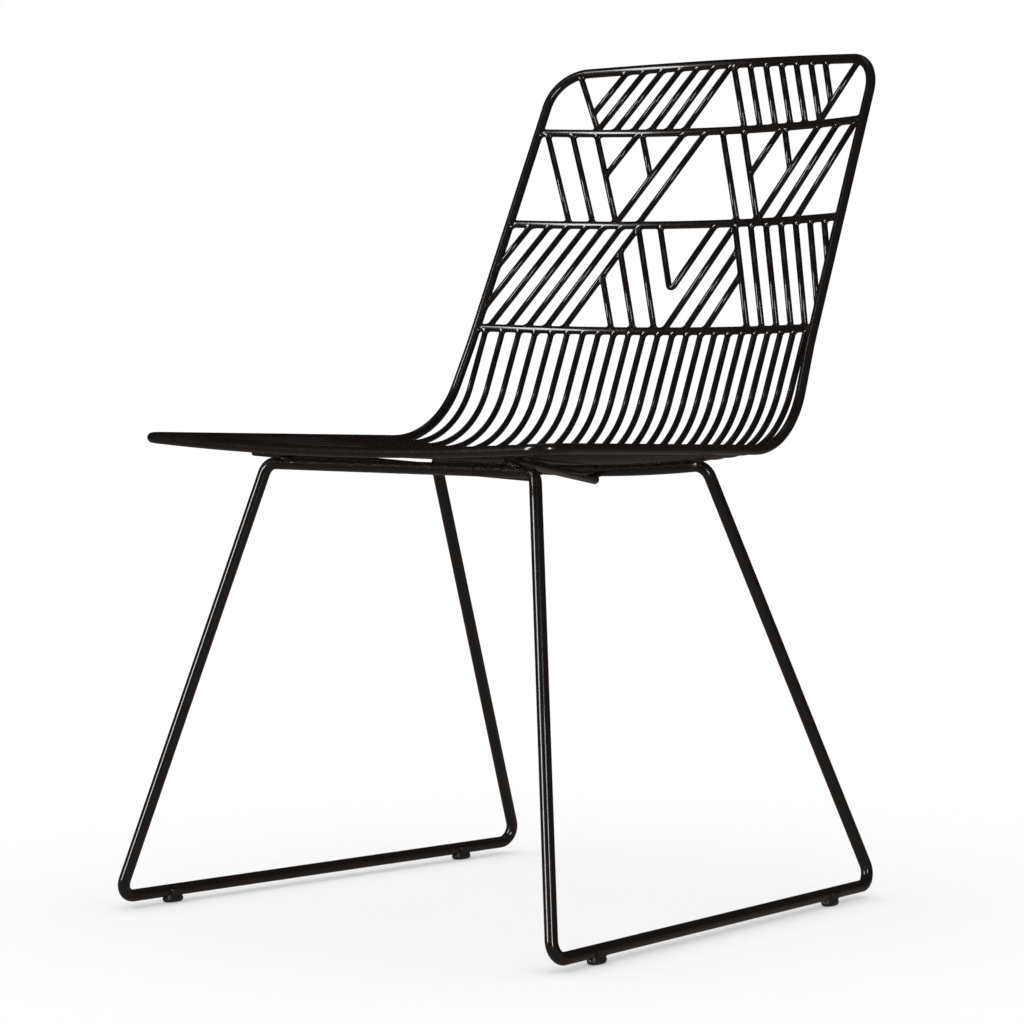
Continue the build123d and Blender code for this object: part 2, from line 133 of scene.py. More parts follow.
def both_halves(right: np.ndarray) -> np.ndarray:
    """Points of a closed line: its right half, then the mirror image backwards."""
    return np.vstack([right, Side.LEFT.mirror(right[-2:0:-1])])


def rounded(corners: list[np.ndarray], bends: list[float]) -> np.ndarray:
    """Centre line of a bent rod through sharp corners.

    At each inner corner an arc replaces the point. It leaves the run before it at the radius times
    the tangent of half the turn from the corner. Its centre lies square to that run, one radius to
    the inside, and its points are the centre, less the inward way times the radius times the
    cosine of the angle, plus the run's way times the radius times its sine.

    Args:
        corners: first point, sharp corners and last point.
        bends: bend radius at each inner corner.

    Returns:
        Points of the line, in rows.
    """
    corners = [np.asarray(corner, float) for corner in corners]
    line = [corners[0][None]]
    for before, corner, after, radius in zip(corners, corners[1:], corners[2:], bends):
        way_in, way_out = unit(corner - before), unit(after - corner)
        turn = np.arccos(np.clip(way_in @ way_out, -1.0, 1.0))
        inward = unit(way_out - way_in * (way_in @ way_out))
        start = corner - way_in * radius * tan(turn / 2)
        centre = start + inward * radius
        count = max(FEWEST_RINGS, int(np.ceil(turn / ARC_STEP)) + 1)
        angles = np.linspace(0.0, turn, count)[:, None]
        line.append(centre - inward * radius * np.cos(angles) + way_in * radius * np.sin(angles))
    line.append(corners[-1][None])
    return np.vstack(line)


@dataclass
class Bow:
    """Rod's line across the chair: an arc about its middle, with a straight tail at each end.

    The arc turns through twice the arc tangent of the rise over the half width and the tail, so
    that each tail is its tangent and ends at the line's sharp corner.
    """

    end: np.ndarray
    rise: np.ndarray
    radius: float
    tail: float = 0.0

    def __post_init__(self) -> None:
        """Work out the arc."""
        self.end = np.asarray(self.end, float)
        self.rise = np.asarray(self.rise, float)
        self.up = unit(self.rise)
        self.turn = 2 * atan(np.linalg.norm(self.rise) / (self.end[0] + self.tail))
        self.arc = (self.end[0] - self.tail * cos(self.turn)) / sin(self.turn)
        self.arc_x = self.arc * sin(self.turn)

    def at(self, x: float | np.ndarray) -> np.ndarray:
        """Points of the line at x.

        Args:
            x: one place across the chair, or several.

        Returns:
            The ends' level, plus the rise, less the arc's fall and the tail's, at each place.
        """
        x = np.asarray(x, float)
        reach = np.minimum(np.abs(x), self.arc_x)
        drop = self.arc - np.sqrt(self.arc**2 - reach**2)
        drop = drop + (np.abs(x) - reach) * tan(self.turn)
        flat = np.stack([x, np.full_like(x, self.end[1]), np.full_like(x, self.end[2])], -1)
        return flat + self.rise - self.up * drop[..., None]

    def way(self, x: float) -> np.ndarray:
        """Unit way of the line at x, to the right."""
        slope = np.arcsin(np.clip(x, -self.arc_x, self.arc_x) / self.arc)
        return ACROSS * np.cos(slope) - self.up * np.sin(slope)

    def points(self, start_x: float, end_x: float) -> np.ndarray:
        """Evenly spaced points of the line between two places."""
        count = max(FEWEST_RINGS, int(abs(end_x - start_x) / BOW_STEP))
        return self.at(np.linspace(start_x, end_x, count))


@dataclass(frozen=True)
class Straight:
    """Straight rod between two points."""

    start: np.ndarray
    end: np.ndarray
    radius: float

    def way(self, _x: float = 0.0) -> np.ndarray:
        """Unit way from start to end, the same at every x."""
        return unit(np.subtract(self.end, self.start))


Rod = Bow | Straight


@dataclass
class Skin:
    """Closed surfaces of one piece, gathered before they go into its mesh."""

    points: list[np.ndarray] = field(default_factory=list)
    quads: list[np.ndarray] = field(default_factory=list)
    fans: list[np.ndarray] = field(default_factory=list)
    count: int = 0

    def add(self, rings: np.ndarray, looped: bool = False) -> None:
        """Add a surface of rings, each joined to the next.

        Ring i and column j meet ring i and column j + 1, ring i + 1 and column j + 1, and ring
        i + 1 and column j. An open surface is closed by a fan to the middle of each end ring.

        Args:
            rings: grid of points, by ring, column and axis.
            looped: True where the last ring joins the first.
        """
        rows, columns = rings.shape[:2]
        index = self.count + np.arange(rows * columns).reshape(rows, columns)
        ahead = np.roll(index, -1, axis=0) if looped else index[1:]
        here = index if looped else index[:-1]
        quads = np.stack([here, np.roll(here, -1, 1), np.roll(ahead, -1, 1), ahead], -1)
        self.quads.append(quads.reshape(-1, 4))
        self.points.append(rings.reshape(-1, 3))
        self.count += rows * columns
        if looped:
            return
        self.points.append(np.stack([rings[0].mean(0), rings[-1].mean(0)]))
        start, end = self.count, self.count + 1
        self.count += 2
        low, high = index[0], index[-1]
        self.fans.append(np.stack([np.full_like(low, start), np.roll(low, -1), low], -1))
        self.fans.append(np.stack([np.full_like(high, end), high, np.roll(high, -1)], -1))

    def mesh(self, name: str, shift: np.ndarray) -> bpy.types.Mesh:
        """Mesh of all the surfaces, smooth shaded.

        Args:
            name: the mesh's name.
            shift: move from the chair's own places to the row frame.

        Returns:
            The new mesh.
        """
        points = np.vstack(self.points) + shift
        faces = np.vstack(self.quads).tolist()
        if self.fans:
            faces += np.vstack(self.fans).tolist()
        mesh = bpy.data.meshes.new(name)
        mesh.from_pydata(points.tolist(), [], faces)
        mesh.polygons.foreach_set("use_smooth", np.ones(len(faces), bool))
        mesh.update()
        return mesh


def carried_frames(line: np.ndarray, looped: bool) -> Pair:
    """Two unit ways square to a centre line at each of its points.

    The first way is carried from point to point and made square to the line's own way there, so
    that it doesn't twist. On a loop, what twist is left at the end is spread evenly over its rings.

    Args:
        line: points of the centre line, in rows.
        looped: True where the last point leads to the first.

    Returns:
        First and second ways, in rows. First, second and the line's own way are right-handed.
    """
    if looped:
        runs = unit(np.roll(line, -1, 0) - line)
        ways = unit(runs + np.roll(runs, 1, 0))
    else:
        runs = unit(np.diff(line, axis=0))
        ways = unit(np.vstack([runs[:1], runs[:-1] + runs[1:], runs[-1:]]))
    spare = UP if abs(ways[0] @ UP) < NEARLY_UPRIGHT else ACROSS
    first = [unit(spare - ways[0] * (spare @ ways[0]))]
    for way in [*ways[1:], *([ways[0]] if looped else [])]:
        first.append(unit(first[-1] - way * (first[-1] @ way)))
    if not looped:
        first = np.array(first)
        return first, np.cross(ways, first)
    last = first.pop()
    twist = np.arctan2(last @ np.cross(ways[0], first[0]), last @ first[0])
    first = np.array(first)
    second = np.cross(ways, first)
    angles = -twist * np.linspace(0.0, 1.0, len(line), endpoint=False)[:, None]
    turned = first * np.cos(angles) + second * np.sin(angles)
    return turned, np.cross(ways, turned)


def round_bar(
    line: np.ndarray, radius: float, sides: int, looped: bool = False, edge: float = 0.0
) -> np.ndarray:
    """Round bar along a centre line.

    Each point is the centre line's own, plus the radius times the cosine of the angle round it
    along the first way and the radius times the sine along the second. At a free end the radius
    falls by the edge over a quarter circle.

    Args:
        line: points of the centre line, in rows.
        radius: bar's radius.
        sides: points round the bar.
        looped: True where the bar closes on itself.
        edge: rounding of the bar's cut ends.

    Returns:
        Grid of points, by ring, column and axis.
    """
    radii = np.full(len(line), radius)
    if edge > 0:
        angles = np.linspace(0.0, pi / 2, EDGE_RINGS)
        inset, loss = edge * (1 - np.sin(angles)), edge * (1 - np.cos(angles))
        start, end = unit(line[1] - line[0]), unit(line[-1] - line[-2])
        head = line[0] + start * inset[::-1, None]
        foot = line[-1] - end * inset[:, None]
        radii = np.concatenate([radius - loss[::-1], radii[1:-1], radius - loss])
        line = np.vstack([head, line[1:-1], foot])
    first, second = carried_frames(line, looped)
    angles = np.linspace(0.0, 2 * pi, sides, endpoint=False)[None, :, None]
    ring = first[:, None] * np.cos(angles) + second[:, None] * np.sin(angles)
    return line[:, None] + ring * radii[:, None, None]


@dataclass(frozen=True)
class Weld:
    """Place where a rod is welded to the one that carries it."""

    point: np.ndarray
    way: np.ndarray
    radius: float
    carrier_way: np.ndarray
    carrier_radius: float

    @classmethod
    def of(cls, point: np.ndarray, rod: Rod, carrier: Rod) -> Weld:
        """Weld of a rod and its carrier at a point."""
        x = float(point[0])
        return cls(point, rod.way(x), rod.radius, carrier.way(x), carrier.radius)

    def on(self, side: Side) -> Weld:
        """The same weld on a side of the chair."""
        point, way, carrier_way = map(side.mirror, (self.point, self.way, self.carrier_way))
        return type(self)(point, way, self.radius, carrier_way, self.carrier_radius)


class EndWeld(Weld):
    """Weld of a rod's end. The point is on the carrier's axis, and the way leads from it."""


class LapWeld(Weld):
    """Weld of a rod that lies across its carrier. The point is between the two."""


@dataclass
class WeldBeads:
    """Weld metal at the joints, under the paint."""

    throat: float = 0.0027
    throat_spread: float = 0.22
    bulge_share: float = 0.20
    side_share: float = 0.97
    least_across: float = 0.05
    tuck_share: float = 0.6
    sink_share: float = 0.9
    collar_wobble: float = 0.16
    pad_sizes: Span = (0.9, 1.12)
    pad_length: float = 0.92
    pad_height: float = 0.42
    pad_wobble: float = 0.07
    pad_rings: int = 9
    waves: tuple[int, int] = (2, 3)
    columns: int = 22
    steps: int = 6
    seed: int = 20

    def __post_init__(self) -> None:
        """Start the row of random sizes, the same on each run."""
        self.random = np.random.default_rng(self.seed)

    def wobble(self, angles: np.ndarray, share: float) -> np.ndarray:
        """Uneven size of a bead round its joint.

        It is one plus a wave of each number of turns, with random heights and starts.

        Args:
            angles: angles round the joint.
            share: greatest height of a wave.

        Returns:
            Factor at each angle.
        """
        heights = self.random.uniform(-share, share, len(self.waves))
        starts = self.random.uniform(0.0, 2 * pi, len(self.waves))
        return 1 + (heights * np.cos(angles[..., None] * self.waves + starts)).sum(-1)

    def landing(self, weld: EndWeld, beside: np.ndarray) -> np.ndarray:
        """Heights at which lines along a rod meet the side of its carrier.

        A height solves the square of its distance from the carrier's axis, set equal to the square
        of the carrier's radius. A line that passes the carrier takes the height nearest to it.

        Args:
            weld: where the two rods meet.
            beside: place of each line, square to the rod's axis, in rows.

        Returns:
            Height of each line over the carrier's axis, in rows.
        """
        away, way = unit(weld.way), weld.carrier_way
        flat = beside - way * (beside @ way)[:, None]
        rise = away - way * (away @ way)
        half = flat @ rise
        rest = (rise @ rise) * ((flat**2).sum(1) - weld.carrier_radius**2)
        return ((-half + np.sqrt(np.maximum(half**2 - rest, 0.0))) / (rise @ rise))[:, None]

    def collar(self, weld: EndWeld) -> np.ndarray:
        """Fillet of weld metal round the end of a rod on the side of its carrier.

        The bead runs from the rod, one throat above its landing on the carrier, to the carrier,
        one throat beside the rod, on a curve with two ends and one handle in the corner. It stays
        within a share of the carrier's radius across the carrier.

        Args:
            weld: where the two rods meet.

        Returns:
            Grid of points, by ring, column and axis.
        """
        away, way = unit(weld.way), weld.carrier_way
        spare = unit(np.cross(away, way))
        side = np.cross(spare, away)
        angles = np.linspace(0.0, 2 * pi, self.columns, endpoint=False)[:, None]
        ring = side * np.cos(angles) + spare * np.sin(angles)
        size = self.throat * self.random.uniform(1 - self.throat_spread, 1 + self.throat_spread)
        throats = size * self.wobble(angles, self.collar_wobble)
        near = ring * weld.radius
        corner = near + away * self.landing(weld, near)
        top = corner + away * throats
        flat = ring - way * (ring @ way)[:, None]
        rise = away - way * (away @ way)
        across = flat - rise * (flat @ rise)[:, None] / (rise @ rise)
        spread = np.maximum(np.linalg.norm(across, axis=1, keepdims=True), self.least_across)
        limit = np.maximum(weld.radius, self.side_share * weld.carrier_radius / spread)
        wide = ring * np.minimum(weld.radius + throats, limit)
        foot = wide + away * self.landing(weld, wide)
        handle = corner + (top + foot - 2 * corner) * self.bulge_share
        share = np.linspace(0.0, 1.0, self.steps)[:, None, None]
        bead = foot * (1 - share) ** 2 + handle * 2 * share * (1 - share) + top * share**2
        sunk = near * self.tuck_share * self.sink_share
        tucked = top - near * (1 - self.tuck_share)
        return np.concatenate([sunk[None], bead, tucked[None]]) + weld.point

    def pad(self, weld: LapWeld) -> np.ndarray:
        """Blob of weld metal between two crossed rods.

        It is an uneven ellipsoid about the point between them: cosine of the latitude times the
        cosine and the sine of the longitude along the two rods, and its sine square to both.

        Args:
            weld: where the rods cross.

        Returns:
            Grid of points, by ring, column and axis.
        """
        upper = unit(weld.way)
        normal = unit(np.cross(upper, weld.carrier_way))
        across = np.cross(normal, upper)
        spin = np.linspace(0.0, 2 * pi, self.columns, endpoint=False)
        lift = np.linspace(-pi / 2, pi / 2, self.pad_rings + 2)[1:-1, None]
        size = self.random.uniform(*self.pad_sizes)
        along = size * self.pad_length * weld.carrier_radius * self.wobble(spin, self.pad_wobble)
        beside = size * (weld.radius + self.throat) * self.wobble(spin, self.pad_wobble)
        tall = size * self.pad_height * weld.radius
        return (
            weld.point
            + upper * (np.cos(lift) * along * np.cos(spin))[..., None]
            + across * (np.cos(lift) * beside * np.sin(spin))[..., None]
            + normal * (np.sin(lift) * tall * np.ones_like(spin))[..., None]
        )

    def bead(self, weld: Weld) -> np.ndarray:
        """Surface of one weld's bead, as a grid of points."""
        return self.collar(weld) if isinstance(weld, EndWeld) else self.pad(weld)


@dataclass
class NodeBench:
    """Nodes of a material or a world being wired, with short ways to make them."""

    owner: bpy.types.Material | bpy.types.World

    def __post_init__(self) -> None:
        """Start with no node but the output."""
        self.owner.use_nodes = True
        self.tree = self.owner.node_tree
        self.tree.nodes.clear()
        kind = "World" if isinstance(self.owner, bpy.types.World) else "Material"
        self.output = self.node(f"ShaderNodeOutput{kind}", {})

    @cached_property
    def places(self) -> bpy.types.NodeSocket:
        """Place of each point on its object's own axes."""
        return self.node("ShaderNodeTexCoord", {}).outputs["Object"]

    def node(self, kind: str, feeds: dict[str | int, object], **settings: str) -> bpy.types.Node:
        """New node, fed with values and with other nodes' sockets.

        Args:
            kind: the node's type.
            feeds: for an input's name or number, the value that it holds or the socket it takes.
            settings: the node's own properties.

        Returns:
            The new node.
        """
        made = self.tree.nodes.new(kind)
        for key, value in settings.items():
            setattr(made, key, value)
        for key, value in feeds.items():
            if isinstance(value, bpy.types.NodeSocket):
                self.tree.links.new(value, made.inputs[key])
            else:
                made.inputs[key].default_value = value
        return made

    def noise(self, scale: float, detail: float, roughness: float = 0.5) -> bpy.types.NodeSocket:
        """Cloudy value in space, from 0 to 1.

        Args:
            scale: clouds in a metre.
            detail: finer clouds laid over the first.
            roughness: strength of the finer clouds.

        Returns:
            The value's socket.
        """
        feeds = {"Scale": scale, "Detail": detail, "Roughness": roughness, "Vector": self.places}
        return self.node("ShaderNodeTexNoise", feeds).outputs["Fac"]

    def ranged(self, value: bpy.types.NodeSocket, source: Span, to: Span) -> bpy.types.NodeSocket:
        """Value moved from one range to another and held inside it.

        Args:
            value: the value's socket.
            source: range that it comes from.
            to: range that it goes to.

        Returns:
            The new value's socket.
        """
        feeds = {
            "Value": value,
            "From Min": source[0],
            "From Max": source[1],
            "To Min": to[0],
            "To Max": to[1],
        }
        return self.node("ShaderNodeMapRange", feeds).outputs["Result"]

    def mixed(self, share: bpy.types.NodeSocket, low: Triple, high: Triple) -> bpy.types.NodeSocket:
        """Colour between two others.

        Args:
            share: socket of the second colour's share.
            low: first colour.
            high: second colour.

        Returns:
            The colour's socket.
        """
        made = self.node("ShaderNodeMix", {0: share}, data_type="RGBA")
        sockets = [socket for socket in made.inputs if socket.type == "RGBA"]
        for socket, colour in zip(sockets, (low, high)):
            socket.default_value = (*colour, 1.0)
        return next(socket for socket in made.outputs if socket.type == "RGBA")

    def bumped(
        self, height: bpy.types.NodeSocket, depth: float, strength: float
    ) -> bpy.types.NodeSocket:
        """Normal of a surface raised by a height, up to a depth in metres."""
        feeds = {"Height": height, "Distance": depth, "Strength": strength}
        return self.node("ShaderNodeBump", feeds).outputs["Normal"]

    def by_ray(
        self, ray: str, others: bpy.types.NodeSocket, chosen: bpy.types.NodeSocket
    ) -> bpy.types.NodeSocket:
        """Shader that differs for one kind of ray.

        Args:
            ray: the kind, as the light path names it.
            others: shader for all other rays.
            chosen: shader for rays of the kind.

        Returns:
            The shader's socket.
        """
        kind = self.node("ShaderNodeLightPath", {}).outputs[ray]
        return self.node("ShaderNodeMixShader", {0: kind, 1: others, 2: chosen}).outputs[0]

    def show(self, shader: bpy.types.NodeSocket) -> None:
        """Lead a shader to the surface."""
        self.tree.links.new(shader, self.output.inputs["Surface"])


@dataclass(frozen=True)
class BlackPaint:
    """Gloss black powder coat over steel, with its orange peel and faint cloudiness.

    The colour lies between two warm blacks by clouds a few centimetres wide, and the roughness in
    a range by specks of a few millimetres. The peel is a bump of fine clouds, and a weld's bump is
    finer and deeper.
    """

    name: str
    dark: Triple = (0.0068, 0.0044, 0.0034)
    light: Triple = (0.0126, 0.0086, 0.0068)
    cloud_scale: float = 38.0
    cloud_detail: float = 3.0
    gloss: Span = (0.17, 0.25)
    speck_scale: float = 210.0
    speck_range: Span = (0.3, 0.7)
    peel_scale: float = 160.0
    peel_depth: float = 0.0000025
    peel_strength: float = 0.6
    fine_detail: float = 2.0
    specular: float = 0.3
    coat: float = 0.5
    coat_roughness: float = 0.05

    def make(self) -> bpy.types.Material:
        """Wire the material.

        Returns:
            The new material.
        """
        bench = NodeBench(bpy.data.materials.new(self.name))
        clouds = bench.noise(self.cloud_scale, self.cloud_detail)
        specks = bench.noise(self.speck_scale, self.fine_detail)
        peel = bench.noise(self.peel_scale, self.fine_detail)
        normal = bench.bumped(peel, self.peel_depth, self.peel_strength)
        feeds = {
            "Base Color": bench.mixed(clouds, self.dark, self.light),
            "Roughness": bench.ranged(specks, self.speck_range, self.gloss),
            "Normal": normal,
            "Coat Normal": normal,
            "Specular IOR Level": self.specular,
            "Coat Weight": self.coat,
            "Coat Roughness": self.coat_roughness,
        }
        bench.show(bench.node("ShaderNodeBsdfPrincipled", feeds).outputs["BSDF"])
        return bench.owner


@dataclass(frozen=True)
class GlidePlastic:
    """Moulded black plastic with a fine grain, scuffed grey where it meets the floor.

    The scuffs are scratchy clouds, faded out with height.
    """

    name: str
    black: Triple = (0.0130, 0.0112, 0.0100)
    scuff: Triple = (0.085, 0.078, 0.070)
    scuff_height: float = 0.0022
    scratch_scale: float = 900.0
    scratch_detail: float = 4.0
    scratch_roughness: float = 0.7
    scratch_range: Span = (0.45, 0.62)
    gloss: Span = (0.42, 0.75)
    grain_scale: float = 2400.0
    grain_detail: float = 2.0
    grain_depth: float = 0.00003
    grain_strength: float = 0.5

    def make(self) -> bpy.types.Material:
        """Wire the material.

        Returns:
            The new material.
        """
        bench = NodeBench(bpy.data.materials.new(self.name))
        height = bench.node("ShaderNodeSeparateXYZ", {"Vector": bench.places}).outputs["Z"]
        low = bench.ranged(height, (0.0, self.scuff_height), FALLING)
        clouds = bench.noise(self.scratch_scale, self.scratch_detail, self.scratch_roughness)
        scratches = bench.ranged(clouds, self.scratch_range, RISING)
        feeds = {0: low, 1: scratches}
        worn = bench.node("ShaderNodeMath", feeds, operation="MULTIPLY").outputs["Value"]
        grain = bench.noise(self.grain_scale, self.grain_detail)
        feeds = {
            "Base Color": bench.mixed(worn, self.black, self.scuff),
            "Roughness": bench.ranged(worn, RISING, self.gloss),
            "Normal": bench.bumped(grain, self.grain_depth, self.grain_strength),
        }
        bench.show(bench.node("ShaderNodeBsdfPrincipled", feeds).outputs["BSDF"])
        return bench.owner


@dataclass
class Workshop:
    """Places finished pieces on the body that carries them and reports each one."""

    body: str
    shift: np.ndarray
    rod_paint: bpy.types.Material
    weld_paint: bpy.types.Material
    glide_plastic: bpy.types.Material
    beads: WeldBeads = field(default_factory=WeldBeads)
    made: int = 0

    def place(
        self,
        name: str,
        grids: list[np.ndarray],
        finish: bpy.types.Material,
        slot: Slot = Slot.STEEL,
        nodes: tuple[str, ...] = (),
        looped: bool = False,
    ) -> None:
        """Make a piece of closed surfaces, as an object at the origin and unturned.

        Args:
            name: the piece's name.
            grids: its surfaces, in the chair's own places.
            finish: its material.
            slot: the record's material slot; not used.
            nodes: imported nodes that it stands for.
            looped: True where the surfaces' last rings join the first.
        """
        skin = Skin()
        for grid in grids:
            skin.add(grid, looped)
        mesh = skin.mesh(name, self.shift)
        mesh.materials.append(finish)
        piece = bpy.data.objects.new(name, mesh)
        bpy.context.scene.collection.objects.link(piece)
        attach(piece, self.body)
        if nodes:
            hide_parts(*nodes)
        self.made += 1
        LOG.info("piece %s: %d points, stands for %s", name, len(mesh.vertices), nodes or "none")

    def weld(self, row: str, welds: list[Weld]) -> None:
        """Make the beads of one row of welds as a piece."""
        self.place(f"welds_{row}", [self.beads.bead(weld) for weld in welds], self.weld_paint)


class RodWork:
    """Sub-assembly bent from round bar of one size."""

    radius: float
    sides: int

    def rods(
        self,
        shop: Workshop,
        name: str,
        nodes: tuple[str, ...],
        lines: list[np.ndarray],
        looped: bool = False,
        edge: float = 0.0,
    ) -> None:
        """Make a piece of painted round bars.

        Args:
            shop: workshop that places it.
            name: the piece's name.
            nodes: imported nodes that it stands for.
            lines: centre line of each bar.
            looped: True where the bars close on themselves.
            edge: rounding of the bars' cut ends.
        """
        grids = [round_bar(line, self.radius, self.sides, looped, edge) for line in lines]
        shop.place(name, grids, shop.rod_paint, nodes=nodes, looped=looped)


@dataclass
class SeatRim(RodWork):
    """Closed loop of rod round the seat and the back, with the lines of its two bowed rails."""

    radius: float = 0.0050
    sides: int = 32
    seat_corner: Triple = (0.264, -0.264, 0.4705)
    seat_corner_radius: float = 0.026
    front_droop: float = 0.0088
    bend_corner: Triple = (0.2323, 0.1432, 0.4576)
    bend_radius: float = 0.095
    waist: Triple = (0.2229, 0.1890, 0.5611)
    waist_radius: float = 0.400
    top_corner: Triple = (0.212, 0.320, 0.853)
    top_corner_radius: float = 0.046
    back_bow: float = 0.0385
    top_rise: float = 0.006
    tail_share: float = 1.2

    def __post_init__(self) -> None:
        """Lay out the front rail and the top rail."""
        seat_tail = self.seat_corner_radius * self.tail_share
        top_tail = self.top_corner_radius * self.tail_share
        top_rise = (0.0, self.back_bow, self.top_rise)
        self.front_rail = Bow(self.seat_corner, -UP * self.front_droop, self.radius, seat_tail)
        self.top_rail = Bow(self.top_corner, top_rise, self.radius, top_tail)

    def upright(self, share: float) -> np.ndarray:
        """Point of the right upright, at a share of the way from the waist to the top."""
        return between(self.waist, self.top_corner, share)

    def line(self) -> np.ndarray:
        """Centre line of the whole loop.

        Returns:
            Points from the middle of the front rail round the right side and back on the left.
        """
        front, top = self.front_rail, self.top_rail
        corners = [
            front.at(front.arc_x),
            self.seat_corner,
            self.bend_corner,
            self.waist,
            self.top_corner,
            top.at(top.arc_x),
        ]
        bends = [
            self.seat_corner_radius,
            self.bend_radius,
            self.waist_radius,
            self.top_corner_radius,
        ]
        front_half, top_half = front.points(0.0, front.arc_x), top.points(top.arc_x, 0.0)
        return both_halves(np.vstack([front_half[:-1], rounded(corners, bends), top_half[1:]]))

    def build(self, shop: Workshop) -> None:
        """Make the loop as one bent and closed rod."""
        self.rods(shop, "rim_loop", ("rim_right", "rim_left"), [self.line()], looped=True)


@dataclass
class BackBands(RodWork):
    """Three bowed cross bands between the uprights."""

    rim: SeatRim
    radius: float = 0.00418
    sides: int = 28
    bow: float = 0.034
    drop: float = 0.004
    places: tuple[tuple[str, float], ...] = (("lower", 0.058), ("middle", 0.442), ("upper", 0.784))

    def __post_init__(self) -> None:
        """Lay out the bands' lines."""
        rise = (0.0, self.bow, -self.drop)
        self.lines = {
            name: Bow(self.rim.upright(share), rise, self.radius) for name, share in self.places
        }

    def build(self, shop: Workshop) -> None:
        """Make the bands and the welds at their ends.

        Args:
            shop: workshop that places the pieces.
        """
        upright = Straight(self.rim.waist, self.rim.top_corner, self.rim.radius)
        welds = []
        for name, line in self.lines.items():
            end_x = line.end[0]
            self.rods(shop, f"band_{name}", (f"{name}_band",), [line.points(-end_x, end_x)])
            weld = EndWeld(line.end, -line.way(end_x), self.radius, upright.way(), upright.radius)
            welds += [weld.on(side) for side in Side]
        shop.weld("bands", welds)


@dataclass
class SledBase(RodWork):
    """Closed loop of rod with two floor runners, four legs and two crossbars."""

    radius: float = 0.00612
    sides: int = 36
    floor_front: Triple = (0.280, -0.281, 0.012)
    floor_rear: Triple = (0.239, 0.281, 0.012)
    front_top: Triple = (0.173, -0.177, 0.444273)
    rear_top: Triple = (0.1774, 0.0781, 0.443545)
    rear_dip: float = 0.009444
    leg_top_radius: float = 0.014
    floor_radius: float = 0.015
    tail_share: float = 1.2

    def __post_init__(self) -> None:
        """Lay out the rear crossbar, which dips at its middle."""
        tail = self.leg_top_radius * self.tail_share
        self.rear_crossbar = Bow(self.rear_top, -UP * self.rear_dip, self.radius, tail)

    def line(self) -> np.ndarray:
        """Centre line of the whole loop.

        Returns:
            Points from the middle of the rear crossbar down the right side and back on the left.
        """
        rear = self.rear_crossbar
        corners = [
            rear.at(rear.arc_x),
            self.rear_top,
            self.floor_rear,
            self.floor_front,
            self.front_top,
            self.front_top * ON_MIDDLE,
        ]
        bends = [self.leg_top_radius, self.floor_radius, self.floor_radius, self.leg_top_radius]
        rear_half = rear.points(0.0, rear.arc_x)
        return both_halves(np.vstack([rear_half[:-1], rounded(corners, bends)]))

    def build(self, shop: Workshop) -> None:
        """Make the loop as one bent and closed rod."""
        self.rods(shop, "sled_loop", ("sled_right", "sled_left"), [self.line()], looped=True)


